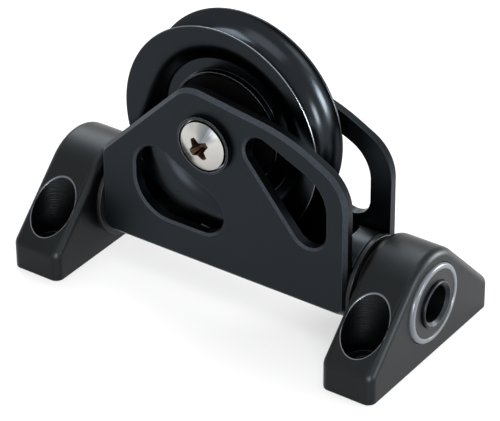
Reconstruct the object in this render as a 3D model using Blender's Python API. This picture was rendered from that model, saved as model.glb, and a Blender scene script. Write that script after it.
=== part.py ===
"""Lead block: a swinging two-cheek frame with one grooved sheave, carried between two deck feet.

Lengths are written in millimetres and turned into metres as the meshes are made.
X runs along the swing axis, Y across it, Z up, with the deck at Z = 0.
"""
import math

import bmesh
import bpy
from mathutils import Matrix, Vector

MM = 0.001
ARC_ERROR = 0.06        # how far a facet may lie inside its arc
ROUND_STEPS = 32        # facets round a small turned piece
SHEAVE_STEPS = 60
ROLLER_STEPS = 16
SMOOTH_ANGLE = math.radians(35)
SHARP_ANGLE = math.radians(60)

# Clearances
SEAT_GAP = 0.3          # between two pieces that touch on the real block
RUNNING_GAP = 0.3       # between two turning surfaces

# Swing axis and feet
SWING_HEIGHT = 15.1
FOOT_SPAN = 108.8       # over the outer faces of the two feet
FOOT_WIDTH = 14.6
FOOT_DEPTH = 53.5
FOOT_CREST_RADIUS = 13.7
FOOT_SIDE_ROUND = 2.2
FOOT_TOE_ROUND = 3.0
SCREW_PITCH_Y = 37.0    # between the two deck screws of one foot
COUNTERBORE = 11.5
SCREW_HOLE = 6.6
SCREW_SEAT_HEIGHT = 5.0
FOOT_DEBURR = 0.25

# Pivot bushes, pins and thrust washers
BUSH_FLANGE = 20.7
BUSH_FLANGE_PROUD = 0.82
BUSH_FLANGE_LAND = 16.9
BUSH_WALL = 1.6
SPOT_FACE_DEPTH = 0.6
SPOT_FACE_GAP = 0.15    # round the edge of the outer bush's flange
PIN_DIAMETER = 12.1
PIN_BORE = 9.5
PIN_PROUD = 1.5
PIN_MOUTH_LAND = 0.3
PIN_SPIGOT = 9.0
PIN_BORE_DEPTH = 13.0
PIN_DRIVE_FLATS = 5.0   # across the flats of the hexagon that the pin is driven by
WASHER_DIAMETER = 24.0
WASHER_THICKNESS = 1.1
INNER_FLANGE_THICKNESS = 0.9

# Frame
CHEEK_OUTSIDE = 22.8    # over the outer faces of the two cheeks
CHEEK_THICKNESS = 3.0
CHEEK_CHAMFER = 0.95
SLOT_CHAMFER = 0.55
END_GAP = 3.1           # from the end of each cheek to the foot
CHEEK_BOTTOM = 9.8
CHEEK_FOOT_ROUND = 3.0
LEFT_SHOULDER_DROP = 12.1    # drops are measured down from the sheave's axle, rises up from it
LEFT_SHOULDER_ROUND = 4.0
PEAK_RISE = 14.2
PEAK_ROUND = 9.0
BROW_RISE = 9.7
BROW_ROUND = 45.0
RIGHT_SHOULDER_RISE = 0.6
RIGHT_SHOULDER_ROUND = 11.7
PEAK_SHARE = -0.283     # how far out the peak stands, as a share of half the frame's length
BROW_SHARE = 0.537
LOW_SLOT_DROP = 2.3
LOW_SLOT_LEDGE = 9.6    # from the bottom of the cheek up to the slot
LOW_SLOT_ROUNDS = (6.5, 6.2, 10.0)
LOW_SLOT_HEEL_SHARE = -0.708
LOW_SLOT_TIP_SHARE = 0.537
HIGH_SLOT_RISE = 13.5
HIGH_SLOT_SHOULDER_DROP = 2.0
HIGH_SLOT_LEDGE = 7.6
HIGH_SLOT_ROUNDS = (4.3, 10.0, 5.0)
HIGH_SLOT_HEEL_SHARE = 0.8365
HIGH_SLOT_TIP_SHARE = -0.095
FLOOR_THICKNESS = 2.4   # of the web that joins the cheeks under the sheave
BOSS_DIAMETER = 22.2
BOSS_RISE = 0.7         # of the boss centre above the swing axis
BOSS_PROUD = 0.2
BOSS_WALL = 5.2         # from the rounded end of the sheave pocket to the face of the boss
BOSS_RUNOUT = 1.7       # where the boss ends beside the rounded end of the pocket
BOSS_CHAMFER = 0.5
BOSS_ROOT = 1.5         # how far the boss reaches into each cheek

# Sheave
SHEAVE_X = -4.0
SHEAVE_HEIGHT = 45.5
SHEAVE_DIAMETER = 57.0
SHEAVE_WIDTH = 11.6
RIM_LAND = 0.5
RIM_ROUND = 0.2
GROOVE_FLOOR_WIDTH = 8.42
DISH_SHOULDER_WIDTH = 10.2
WEB_THICKNESS = 4.0
COLLAR_WIDTH = 7.6
COLLAR_WALL = 0.6
SHEAVE_BORE = 30.0
WEB_SHARE = 0.248       # these are shares of the way from the collar out to the rim
GROOVE_SHARE = 0.6845
DISH_SHOULDER_SHARE = 0.55
GROOVE_RADIUS_SHARE = 0.403
SHOULDER_RADIUS_SHARE = 0.7
DISH_RADIUS_SHARE = 0.116

# Bearing
AXLE_DIAMETER = 12.0
INNER_RACE = 17.6
ROLLER_DIAMETER = 4.0
ROLLER_COUNT = 12
ROLLER_LENGTH = 3.8
BEARING_WIDTH = 5.6     # of the outer race and the cage
CAGE_WALL = 1.6
COVER_THICKNESS = 0.6
COVER_BORE_GAP = 0.5
SPACER_DIAMETER = 16.0

# Axle screws and their cups
CUP_DIAMETER = 15.3
CUP_PROUD = 1.5
CUP_EDGE = 0.2
CUP_SPIGOT = 13.2
SCREW_HEAD = 12.9
SCREW_SHANK = 6.3
SCREW_DOME = 1.9
SCREW_LENGTH = 11.6     # from the rim of the head to the tip
SCREW_TIP = 0.8
RECESS_WIDTH = 6.8
RECESS_ARM = 1.6
RECESS_TURN = 37        # degrees, as the photo shows the front screw
RECESS_DEPTH = 2.4

# Places worked out from the sizes above
CHEEK_OUT = CHEEK_OUTSIDE / 2
CHEEK_IN = CHEEK_OUT - CHEEK_THICKNESS
FOOT_OUT = FOOT_SPAN / 2
FOOT_IN = FOOT_OUT - FOOT_WIDTH
FOOT_MIDDLE = (FOOT_IN + FOOT_OUT) / 2
FRAME_END = FOOT_IN - END_GAP
BOSS_FACE = FRAME_END + BOSS_PROUD
PIN_RADIUS = PIN_DIAMETER / 2
BUSH_BORE = PIN_RADIUS + RUNNING_GAP
BUSH_OUTER = BUSH_BORE + BUSH_WALL
FOOT_BORE = BUSH_OUTER + SEAT_GAP
RACE_IN = INNER_RACE / 2
ROLLER_CIRCLE = RACE_IN + RUNNING_GAP + ROLLER_DIAMETER / 2
RACE_OUT = ROLLER_CIRCLE + ROLLER_DIAMETER / 2 + RUNNING_GAP
COVER_IN = BEARING_WIDTH / 2 + SEAT_GAP
COVER_OUT = COVER_IN + COVER_THICKNESS
SHANK_BORE = SCREW_SHANK / 2 + SEAT_GAP
CUP_FACE = CHEEK_OUT + CUP_PROUD
CUP_BOTTOM = CHEEK_IN + SEAT_GAP
SWING_CENTRE = (0.0, 0.0, SWING_HEIGHT)
SHEAVE_CENTRE = (SHEAVE_X, 0.0, SHEAVE_HEIGHT)
SIDES = (("left", -1), ("right", 1))
FACES = (("front", -1), ("rear", 1))


def clear_scene():
    """Remove whatever the opened file holds."""
    for old in list(bpy.data.objects):
        bpy.data.objects.remove(old, do_unlink=True)


def material(name, colour, roughness, metallic):
    """A plain Principled material."""
    made = bpy.data.materials.new(name)
    made.use_nodes = True
    shader = made.node_tree.nodes["Principled BSDF"]
    shader.inputs["Base Color"].default_value = (*colour, 1.0)
    shader.inputs["Roughness"].default_value = roughness
    shader.inputs["Metallic"].default_value = metallic
    return made


def piece(name, shape, finish, origin=(0.0, 0.0, 0.0)):
    """Turn a bmesh into a named object whose origin is the given point, smooth where it is round."""
    place = Vector(origin) * MM
    bmesh.ops.translate(shape, verts=shape.verts, vec=-place)
    bmesh.ops.recalc_face_normals(shape, faces=shape.faces)
    mesh = bpy.data.meshes.new(name)
    shape.to_mesh(mesh)
    shape.free()
    mesh.shade_smooth()
    mesh.set_sharp_from_angle(angle=SMOOTH_ANGLE)
    mesh.materials.append(finish)
    made = bpy.data.objects.new(name, mesh)
    made.location = place
    bpy.context.scene.collection.objects.link(made)
    return made


def combine(target, tool_name, tool_shape, operation):
    """Join a bmesh to an object, or cut it away, with a Boolean modifier."""
    tool = piece(tool_name, tool_shape, target.data.materials[0])
    tool.hide_render = True
    tool.display_type = "WIRE"
    boolean = target.modifiers.new(tool_name, "BOOLEAN")
    boolean.operation = operation
    boolean.solver = "EXACT"
    boolean.object = tool


def arc(centre, radius, start, end):
    """Points along an arc, both ends included, close enough together for its radius."""
    step = 2 * math.acos(1 - ARC_ERROR / radius)
    count = max(2, math.ceil(abs(end - start) / step))
    turns = [start + (end - start) * index / count for index in range(count + 1)]
    return [(centre[0] + radius * math.cos(turn), centre[1] + radius * math.sin(turn)) for turn in turns]


def circle(centre, radius, count=ROUND_STEPS):
    """Points of a full round outline."""
    turns = [2 * math.pi * index / count for index in range(count)]
    return [(centre[0] + radius * math.cos(turn), centre[1] + radius * math.sin(turn)) for turn in turns]


def filleted(corners):
    """Points of a closed outline whose corners, given as (a, b, radius), are rounded by arcs."""
    points = []
    for index, (a, b, radius) in enumerate(corners):
        corner = Vector((a, b))
        if radius == 0:
            points.append((a, b))
            continue
        to_last = (Vector(corners[index - 1][:2]) - corner).normalized()
        to_next = (Vector(corners[(index + 1) % len(corners)][:2]) - corner).normalized()
        half = to_last.angle(to_next) / 2
        centre = corner + (to_last + to_next).normalized() * radius / math.sin(half)
        first = corner + to_last * radius / math.tan(half) - centre
        last = corner + to_next * radius / math.tan(half) - centre
        start = math.atan2(first.y, first.x)
        sweep = math.copysign(math.pi - 2 * half, first.cross(last))
        points.extend(arc(centre, radius, start, start + sweep))
    return points


def spot(point, axis, along):
    """An outline's point in space: (y, z) across X, (x, z) across Y and (x, y) across Z."""
    a, b = point
    return Vector({"X": (along, a, b), "Y": (a, along, b), "Z": (a, b, along)}[axis]) * MM


def extruded(outline, axis, low, high, holes=()):
    """A bmesh of an outline, with holes or without, drawn out along an axis."""
    shape = bmesh.new()
    for points in (outline, *holes):
        ring = [shape.verts.new(spot(point, axis, low)) for point in points]
        for index, vert in enumerate(ring):
            shape.edges.new((ring[index - 1], vert))
    if holes:
        bmesh.ops.triangle_fill(shape, use_beauty=True, edges=shape.edges[:])
    else:
        bmesh.ops.contextual_create(shape, geom=shape.edges[:])
    grown = bmesh.ops.extrude_face_region(shape, geom=shape.faces[:])
    moved = [item for item in grown["geom"] if isinstance(item, bmesh.types.BMVert)]
    bmesh.ops.translate(shape, verts=moved, vec=spot((0, 0), axis, high - low))
    bmesh.ops.recalc_face_normals(shape, faces=shape.faces)
    return shape


def bevel_end(shape, axis, along, size, outline=None, segments=1):
    """Bevel the sharp edges at one end of an extrusion: all of them, or only those of one outline."""
    depth = "XYZ".index(axis)
    wanted = [spot(point, axis, along) for point in outline or ()]
    chosen = []
    for edge in shape.edges:
        at_end = all(abs(vert.co[depth] - along * MM) < 1e-6 for vert in edge.verts)
        if not at_end or edge.calc_face_angle(0) < SHARP_ANGLE:
            continue
        if outline and min((edge.verts[0].co - place).length for place in wanted) > 1e-6:
            continue
        chosen.append(edge)
    bmesh.ops.bevel(shape, geom=chosen, offset=size * MM, offset_type="OFFSET", segments=segments,
                    profile=0.5, affect="EDGES", material=-1, clamp_overlap=False)


def turned(profile, axis, centre, steps=ROUND_STEPS):
    """A bmesh turned from a closed profile of (radius, distance along the axis) about an axis."""
    shape = bmesh.new()
    middle = Vector(centre) * MM
    across = Vector((0, 0, 1)) if axis == "X" else Vector((1, 0, 0))
    onward = {"X": Vector((1, 0, 0)), "Y": Vector((0, 1, 0)), "Z": Vector((0, 0, 1))}[axis]
    ring = [shape.verts.new(middle + (across * radius + onward * along) * MM) for radius, along in profile]
    for index, vert in enumerate(ring):
        shape.edges.new((ring[index - 1], vert))
    bmesh.ops.spin(shape, geom=shape.verts[:] + shape.edges[:], cent=middle, axis=onward,
                   angle=2 * math.pi, steps=steps, use_merge=True, use_duplicate=False)
    bmesh.ops.remove_doubles(shape, verts=shape.verts, dist=1e-6)
    bmesh.ops.dissolve_degenerate(shape, edges=shape.edges, dist=1e-7)
    bmesh.ops.recalc_face_normals(shape, faces=shape.faces)
    return shape


def tube(inner, outer, low, high):
    """The closed profile of a plain ring."""
    return [(inner, low), (outer, low), (outer, high), (inner, high)]


def mirrored(profile, side):
    """A profile on the positive side of the middle, or its mirror image on the negative side."""
    return [(radius, side * along) for radius, along in profile]


def foot(name, side, finish):
    """A deck foot: a 45 degree wedge with a round crest, soft edges and two counterbored screw holes."""
    half = FOOT_DEPTH / 2
    apex = SWING_HEIGHT + FOOT_CREST_RADIUS * math.sqrt(2)
    toe = apex - half
    outline = filleted([
        (-half, 0, 0),
        (-half, toe, FOOT_TOE_ROUND),
        (0, apex, FOOT_CREST_RADIUS),
        (half, toe, FOOT_TOE_ROUND),
        (half, 0, 0),
    ])
    low, high = sorted((side * FOOT_IN, side * FOOT_OUT))
    shape = extruded(outline, "X", low, high)
    for end in (low, high):
        soften_side(shape, end)
    made = piece(name, shape, finish)
    spot_face = BUSH_FLANGE / 2 + SPOT_FACE_GAP
    spot_floor = FOOT_OUT - SPOT_FACE_DEPTH
    bores = [(0, FOOT_IN - 1), (FOOT_BORE, FOOT_IN - 1), (FOOT_BORE, spot_floor),
             (spot_face, spot_floor), (spot_face, FOOT_OUT + 1), (0, FOOT_OUT + 1)]
    combine(made, name + "_bore_cutter", turned(mirrored(bores, side), "X", SWING_CENTRE), "DIFFERENCE")
    screw_hole = [(0, -1), (SCREW_HOLE / 2, -1), (SCREW_HOLE / 2, SCREW_SEAT_HEIGHT),
                  (COUNTERBORE / 2, SCREW_SEAT_HEIGHT), (COUNTERBORE / 2, apex), (0, apex)]
    for label, across in FACES:
        centre = (side * FOOT_MIDDLE, across * SCREW_PITCH_Y / 2, 0)
        combine(made, name + "_" + label + "_screw_cutter", turned(screw_hole, "Z", centre), "DIFFERENCE")
    deburr = made.modifiers.new("deburred edges", "BEVEL")
    deburr.width = FOOT_DEBURR * MM
    deburr.segments = 1
    deburr.limit_method = "ANGLE"
    deburr.angle_limit = math.radians(40)
    deburr.use_clamp_overlap = False


def soften_side(shape, end):
    """Round every edge of a foot's side face but the one on the deck."""
    chosen = []
    for edge in shape.edges:
        on_side = all(abs(vert.co.x - end * MM) < 1e-6 for vert in edge.verts)
        on_deck = all(vert.co.z < 1e-6 for vert in edge.verts)
        if on_side and not on_deck and edge.calc_face_angle(0) > SHARP_ANGLE:
            chosen.append(edge)
    bmesh.ops.bevel(shape, geom=chosen, offset=FOOT_SIDE_ROUND * MM, offset_type="OFFSET", segments=3,
                    profile=0.5, affect="EDGES", material=-1, clamp_overlap=False)


def pivot_parts(label, side, finishes):
    """The two flanged bushes in a foot, the hollow pin that turns in them and the thrust washer."""
    flange = BUSH_FLANGE / 2
    flange_seat = FOOT_OUT - SPOT_FACE_DEPTH + SEAT_GAP
    outer_bush = [(BUSH_BORE, FOOT_MIDDLE + SEAT_GAP), (BUSH_OUTER, FOOT_MIDDLE + SEAT_GAP),
                  (BUSH_OUTER, flange_seat), (flange, flange_seat), (flange, FOOT_OUT),
                  *arc_up(flange, BUSH_FLANGE_LAND / 2, FOOT_OUT, BUSH_FLANGE_PROUD),
                  (BUSH_BORE, FOOT_OUT + BUSH_FLANGE_PROUD)]
    turned_piece("pivot_bush_outer_" + label, outer_bush, side, finishes["bush"])
    flange_out = FOOT_IN - SEAT_GAP
    flange_in = flange_out - INNER_FLANGE_THICKNESS
    inner_bush = [(BUSH_BORE, flange_in), (flange, flange_in), (flange, flange_out), (BUSH_OUTER, flange_out),
                  (BUSH_OUTER, FOOT_MIDDLE - SEAT_GAP), (BUSH_BORE, FOOT_MIDDLE - SEAT_GAP)]
    turned_piece("pivot_bush_inner_" + label, inner_bush, side, finishes["bush"])
    washer_in = BOSS_FACE + RUNNING_GAP
    washer = tube(BUSH_BORE, WASHER_DIAMETER / 2, washer_in, washer_in + WASHER_THICKNESS)
    turned_piece("thrust_washer_" + label, washer, side, finishes["washer"])
    mouth = FOOT_OUT + PIN_PROUD
    bore_end = mouth - PIN_BORE_DEPTH
    countersink = PIN_RADIUS - PIN_MOUTH_LAND - PIN_BORE / 2
    pocket_end = BOSS_FACE - BOSS_WALL
    pin = [(0, pocket_end + SEAT_GAP), (PIN_SPIGOT / 2, pocket_end + SEAT_GAP), (PIN_SPIGOT / 2, washer_in),
           (PIN_RADIUS, washer_in), (PIN_RADIUS, mouth), (PIN_RADIUS - PIN_MOUTH_LAND, mouth),
           (PIN_BORE / 2, mouth - countersink), (PIN_BORE / 2, bore_end), (0, bore_end)]
    made = turned_piece("pivot_pin_" + label, pin, side, finishes["pin"])
    hexagon = circle((0, SWING_HEIGHT), PIN_DRIVE_FLATS / math.sqrt(3), 6)
    low, high = sorted((side * (pocket_end - 1), side * (bore_end + 1)))
    combine(made, "pivot_pin_" + label + "_drive_cutter", extruded(hexagon, "X", low, high), "DIFFERENCE")


def turned_piece(name, profile, side, finish):
    """A piece turned about the swing axis, on the left or the right of the block."""
    return piece(name, turned(mirrored(profile, side), "X", SWING_CENTRE), finish, SWING_CENTRE)


def arc_up(outer, inner, face, height):
    """A convex quarter round from a flange's edge on its seat up to its flat land."""
    turns = [math.pi / 2 * index / 5 for index in range(1, 6)]
    return [(inner + (outer - inner) * math.cos(turn), face + height * math.sin(turn)) for turn in turns]


def cheek_outline():
    """The side view of the frame: a steep 45 degree rise, a rounded peak and a long falling shoulder."""
    return filleted([
        (-FRAME_END, CHEEK_BOTTOM, CHEEK_FOOT_ROUND),
        (-FRAME_END, SHEAVE_HEIGHT - LEFT_SHOULDER_DROP, LEFT_SHOULDER_ROUND),
        (PEAK_SHARE * FRAME_END, SHEAVE_HEIGHT + PEAK_RISE, PEAK_ROUND),
        (BROW_SHARE * FRAME_END, SHEAVE_HEIGHT + BROW_RISE, BROW_ROUND),
        (FRAME_END, SHEAVE_HEIGHT + RIGHT_SHOULDER_RISE, RIGHT_SHOULDER_ROUND),
        (FRAME_END, CHEEK_BOTTOM, CHEEK_FOOT_ROUND),
    ])


def cheek_slots():
    """The two lightening slots, a three-cornered one on each side of the diagonal web."""
    low_heel = LOW_SLOT_HEEL_SHARE * FRAME_END
    low_tip = LOW_SLOT_TIP_SHARE * FRAME_END
    high_heel = HIGH_SLOT_HEEL_SHARE * FRAME_END
    high_tip = HIGH_SLOT_TIP_SHARE * FRAME_END
    low_ledge = CHEEK_BOTTOM + LOW_SLOT_LEDGE
    low = [(low_heel, SHEAVE_HEIGHT - LOW_SLOT_DROP), (low_tip, low_ledge), (low_heel, low_ledge)]
    high = [(high_tip, SHEAVE_HEIGHT + HIGH_SLOT_RISE), (high_heel, SHEAVE_HEIGHT - HIGH_SLOT_SHOULDER_DROP),
            (high_heel, CHEEK_BOTTOM + HIGH_SLOT_LEDGE)]
    return [
        filleted([(a, b, radius) for (a, b), radius in zip(low, LOW_SLOT_ROUNDS)]),
        filleted([(a, b, radius) for (a, b), radius in zip(high, HIGH_SLOT_ROUNDS)]),
    ]


def cheek(side):
    """One side plate, chamfered round its outline and its slots on the outer face."""
    outline = cheek_outline()
    slots = cheek_slots()
    axle_hole = circle((SHEAVE_X, SHEAVE_HEIGHT), CUP_SPIGOT / 2 + SEAT_GAP)
    shape = extruded(outline, "Y", side * CHEEK_IN, side * CHEEK_OUT, [*slots, axle_hole])
    bevel_end(shape, "Y", side * CHEEK_OUT, CHEEK_CHAMFER, outline)
    for slot in slots:
        bevel_end(shape, "Y", side * CHEEK_OUT, SLOT_CHAMFER, slot)
    return shape


def boss(side):
    """The solid end that joins the two cheeks and carries a pivot pin."""
    centre = (0.0, SWING_HEIGHT + BOSS_RISE)
    radius = BOSS_DIAMETER / 2
    flat = math.acos((CHEEK_IN + BOSS_ROOT) / radius)
    outline = arc(centre, radius, flat, math.pi - flat)
    outline += arc(centre, radius, math.pi + flat, 2 * math.pi - flat)
    pocket_centre = BOSS_FACE - BOSS_WALL - CHEEK_IN
    shape = extruded(outline, "X", side * (pocket_centre + BOSS_RUNOUT), side * BOSS_FACE)
    bevel_end(shape, "X", side * BOSS_FACE, BOSS_CHAMFER)
    return shape


def frame(finish):
    """The swinging frame: two cheeks machined in one with the floor and the bosses at their ends."""
    made = piece("frame", cheek(-1), finish, SWING_CENTRE)
    combine(made, "frame_rear_cheek", cheek(1), "UNION")
    pocket_centre = BOSS_FACE - BOSS_WALL - CHEEK_IN
    floor_top = CHEEK_BOTTOM + FLOOR_THICKNESS
    reach = pocket_centre + 2 * BOSS_RUNOUT
    floor = [(-reach, CHEEK_BOTTOM), (reach, CHEEK_BOTTOM), (reach, floor_top), (-reach, floor_top)]
    root = CHEEK_IN + BOSS_ROOT
    combine(made, "frame_floor", extruded(floor, "Y", -root, root), "UNION")
    for label, side in SIDES:
        combine(made, "frame_boss_" + label, boss(side), "UNION")
    for label, side in SIDES:
        centre = (side * pocket_centre, 0, 0)
        pocket = tube(0, CHEEK_IN, floor_top, SHEAVE_HEIGHT)
        combine(made, "frame_pocket_cutter_" + label, turned(pocket, "Z", centre, SHEAVE_STEPS), "DIFFERENCE")
        bore = mirrored(tube(0, PIN_SPIGOT / 2 + SEAT_GAP, pocket_centre + CHEEK_IN / 2, FOOT_IN), side)
        combine(made, "frame_pin_cutter_" + label, turned(bore, "X", SWING_CENTRE), "DIFFERENCE")
    return made


def sheave_profile():
    """Half of the sheave's section and its mirror image, from the bore round over the groove."""
    bore = SHEAVE_BORE / 2
    collar = bore + COLLAR_WALL
    rim = SHEAVE_DIAMETER / 2
    ring = rim - collar
    half = SHEAVE_WIDTH / 2
    corners = [
        (bore, COLLAR_WIDTH / 2, 0),
        (collar, COLLAR_WIDTH / 2, 0),
        (collar, WEB_THICKNESS / 2, 0),
        (collar + ring * WEB_SHARE, WEB_THICKNESS / 2, ring * DISH_RADIUS_SHARE),
        (collar + ring * DISH_SHOULDER_SHARE, DISH_SHOULDER_WIDTH / 2, ring * SHOULDER_RADIUS_SHARE),
        (rim, half, RIM_ROUND),
        (rim, half - RIM_LAND, RIM_ROUND),
        (collar + ring * GROOVE_SHARE, GROOVE_FLOOR_WIDTH / 2, ring * GROOVE_RADIUS_SHARE),
    ]
    back = [(radius, -along, round_off) for radius, along, round_off in reversed(corners)]
    return filleted(corners + back)


def sheave_parts(finishes):
    """The sheave with the outer race and the two covers that are pressed into it."""
    wheel = turned(sheave_profile(), "Y", SHEAVE_CENTRE, SHEAVE_STEPS)
    piece("sheave", wheel, finishes["sheave"], SHEAVE_CENTRE)
    half = BEARING_WIDTH / 2
    race = tube(RACE_OUT, SHEAVE_BORE / 2 - SEAT_GAP, -half, half)
    piece("outer_race", turned(race, "Y", SHEAVE_CENTRE), finishes["race"], SHEAVE_CENTRE)
    cover = tube(RACE_IN + COVER_BORE_GAP, SHEAVE_BORE / 2 - SEAT_GAP, COVER_IN, COVER_OUT)
    for label, side in FACES:
        shape = turned(mirrored(cover, side), "Y", SHEAVE_CENTRE)
        piece("bearing_cover_" + label, shape, finishes["cover"], SHEAVE_CENTRE)


def roller_parts(finishes):
    """The cage and the rollers that it spaces round the inner race."""
    half = BEARING_WIDTH / 2
    cage = tube(ROLLER_CIRCLE - CAGE_WALL / 2, ROLLER_CIRCLE + CAGE_WALL / 2, -half, half)
    made = piece("roller_cage", turned(cage, "Y", SHEAVE_CENTRE), finishes["cage"], SHEAVE_CENTRE)
    reach = ROLLER_LENGTH / 2
    for index in range(ROLLER_COUNT):
        turn = 2 * math.pi * index / ROLLER_COUNT
        across = ROLLER_CIRCLE * math.cos(turn)
        up = ROLLER_CIRCLE * math.sin(turn)
        centre = (SHEAVE_X + across, 0, SHEAVE_HEIGHT + up)
        name = "roller_%02d" % (index + 1)
        profile = tube(0, ROLLER_DIAMETER / 2, -reach, reach)
        piece(name, turned(profile, "Y", centre, ROLLER_STEPS), finishes["roller"], SHEAVE_CENTRE)
        width = ROLLER_DIAMETER + 2 * SEAT_GAP
        window = bmesh.new()
        size = Matrix.Diagonal((CAGE_WALL * 2, ROLLER_LENGTH + 2 * SEAT_GAP, width, 1 / MM))
        turned_to = Matrix.Translation(Vector(centre) * MM) @ Matrix.Rotation(-turn, 4, "Y")
        bmesh.ops.create_cube(window, size=1.0, matrix=turned_to @ (size * MM))
        combine(made, name + "_window_cutter", window, "DIFFERENCE")


def axle_parts(finishes):
    """What is clamped between the cheeks: the tapped axle, inner race, spacers, cups and screws."""
    axle = tube(SHANK_BORE, AXLE_DIAMETER / 2, -CHEEK_IN, CHEEK_IN)
    piece("axle", turned(axle, "Y", SHEAVE_CENTRE), finishes["steel"], SHEAVE_CENTRE)
    sleeve_bore = AXLE_DIAMETER / 2 + SEAT_GAP
    race = tube(sleeve_bore, RACE_IN, -COVER_OUT, COVER_OUT)
    piece("inner_race", turned(race, "Y", SHEAVE_CENTRE), finishes["race"], SHEAVE_CENTRE)
    spacer = tube(sleeve_bore, SPACER_DIAMETER / 2, COVER_OUT + RUNNING_GAP, CHEEK_IN - SEAT_GAP)
    for label, side in FACES:
        shape = turned(mirrored(spacer, side), "Y", SHEAVE_CENTRE)
        piece("axle_spacer_" + label, shape, finishes["cage"], SHEAVE_CENTRE)
        axle_screw(label, side, finishes)


def axle_screw(label, side, finishes):
    """A countersunk cup in the cheek and the oval-headed screw in it."""
    head = SCREW_HEAD / 2
    shank = SCREW_SHANK / 2
    rim = CUP_FACE - SEAT_GAP
    slack = SEAT_GAP * math.sqrt(2)
    cone_end = rim - (head - shank)
    cup = [(SHANK_BORE, CUP_BOTTOM), (CUP_SPIGOT / 2, CUP_BOTTOM), (CUP_SPIGOT / 2, CHEEK_OUT + SEAT_GAP),
           (CUP_DIAMETER / 2, CHEEK_OUT + SEAT_GAP), (CUP_DIAMETER / 2, CUP_FACE - CUP_EDGE),
           (CUP_DIAMETER / 2 - CUP_EDGE, CUP_FACE), (head + slack + SEAT_GAP, CUP_FACE),
           (SHANK_BORE, cone_end + SHANK_BORE - shank - slack)]
    shape = turned(mirrored(cup, side), "Y", SHEAVE_CENTRE)
    piece("axle_cup_" + label, shape, finishes["cup"], SHEAVE_CENTRE)
    sphere = (head ** 2 + SCREW_DOME ** 2) / (2 * SCREW_DOME)
    widest = math.asin(head / sphere)
    lean = [widest * index / 8 for index in range(9)]
    top = rim + SCREW_DOME
    dome = [(sphere * math.sin(angle), top - sphere * (1 - math.cos(angle))) for angle in lean]
    tip = rim - SCREW_LENGTH
    screw = dome + [(shank, cone_end), (shank, tip + SCREW_TIP), (shank - SCREW_TIP, tip), (0, tip)]
    shape = turned(mirrored(screw, side), "Y", SHEAVE_CENTRE)
    made = piece("axle_screw_" + label, shape, finishes["steel"], SHEAVE_CENTRE)
    reach = RECESS_WIDTH / 2
    arm = RECESS_ARM / 2
    cross = [(arm, arm), (arm, reach), (-arm, reach), (-arm, arm), (-reach, arm), (-reach, -arm),
             (-arm, -arm), (-arm, -reach), (arm, -reach), (arm, -arm), (reach, -arm), (reach, arm)]
    low, high = sorted((side * (top - RECESS_DEPTH), side * (top + 1)))
    turn = Matrix.Rotation(math.radians(RECESS_TURN), 2)
    spots = [turn @ Vector(point) for point in cross]
    outline = [(SHEAVE_X + point.x, SHEAVE_HEIGHT + point.y) for point in spots]
    combine(made, "axle_screw_recess_cutter_" + label, extruded(outline, "Y", low, high), "DIFFERENCE")


def build():
    """Make every piece of the block."""
    clear_scene()
    finishes = {
        "foot": material("anodised charcoal foot", (0.030, 0.032, 0.034), 0.48, 0.6),
        "frame": material("anodised black frame", (0.025, 0.030, 0.034), 0.42, 0.6),
        "sheave": material("anodised black sheave", (0.010, 0.011, 0.012), 0.22, 0.6),
        "bush": material("grey acetal bush", (0.35, 0.36, 0.36), 0.5, 0.0),
        "washer": material("grey acetal washer", (0.35, 0.36, 0.36), 0.5, 0.0),
        "pin": material("black anodised pin", (0.020, 0.022, 0.024), 0.35, 0.7),
        "cup": material("black anodised cup", (0.015, 0.016, 0.018), 0.35, 0.7),
        "steel": material("polished stainless steel", (0.62, 0.60, 0.57), 0.18, 1.0),
        "race": material("hard anodised race", (0.06, 0.06, 0.065), 0.3, 0.8),
        "roller": material("bearing plastic", (0.45, 0.36, 0.20), 0.4, 0.0),
        "cage": material("black acetal", (0.02, 0.02, 0.02), 0.45, 0.0),
        "cover": material("black acetal cover", (0.02, 0.02, 0.02), 0.45, 0.0),
    }
    for label, side in SIDES:
        foot("foot_" + label, side, finishes["foot"])
        pivot_parts(label, side, finishes)
    frame(finishes["frame"])
    sheave_parts(finishes)
    roller_parts(finishes)
    axle_parts(finishes)


build()
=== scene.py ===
import math

import bmesh
import bpy
from mathutils import Matrix, Vector


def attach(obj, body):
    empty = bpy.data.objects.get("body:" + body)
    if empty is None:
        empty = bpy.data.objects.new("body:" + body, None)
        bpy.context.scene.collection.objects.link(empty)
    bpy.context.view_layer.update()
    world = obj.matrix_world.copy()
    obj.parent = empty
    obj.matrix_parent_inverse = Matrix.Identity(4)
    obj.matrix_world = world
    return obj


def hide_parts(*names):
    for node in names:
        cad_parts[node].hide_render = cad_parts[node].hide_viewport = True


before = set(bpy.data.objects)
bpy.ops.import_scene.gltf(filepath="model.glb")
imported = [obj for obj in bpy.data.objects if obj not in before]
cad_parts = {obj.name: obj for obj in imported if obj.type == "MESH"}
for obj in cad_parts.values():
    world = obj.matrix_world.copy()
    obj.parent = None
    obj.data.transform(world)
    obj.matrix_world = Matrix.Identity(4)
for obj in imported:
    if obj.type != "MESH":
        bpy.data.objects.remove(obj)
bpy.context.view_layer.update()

# Deck feet. Two wedges of aluminium bar, milled on 45 degree flanks with a round crest,
# tumbled so that every edge is soft, then bored for the bushes, counterbored for the deck
# screws and anodised satin charcoal.
mm = 0.001
swing_height = 15.1
pivot = (0, 0, swing_height)
ends = (("left", -1), ("right", 1))
foot_inner, foot_outer = 39.8, 54.4
foot_reach, foot_crest = 26.75, 13.7
foot_toe_round, foot_side_round, foot_edge_round = 3.0, 2.2, 0.25
screw_out, screw_across = 47.1, 18.5
screw_hole_radius, counterbore_radius, screw_seat = 3.3, 5.75, 5.0
bush_bore_radius, bush_seat_radius, bush_seat_depth = 8.25, 10.5, 0.6
overrun = 1


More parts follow.
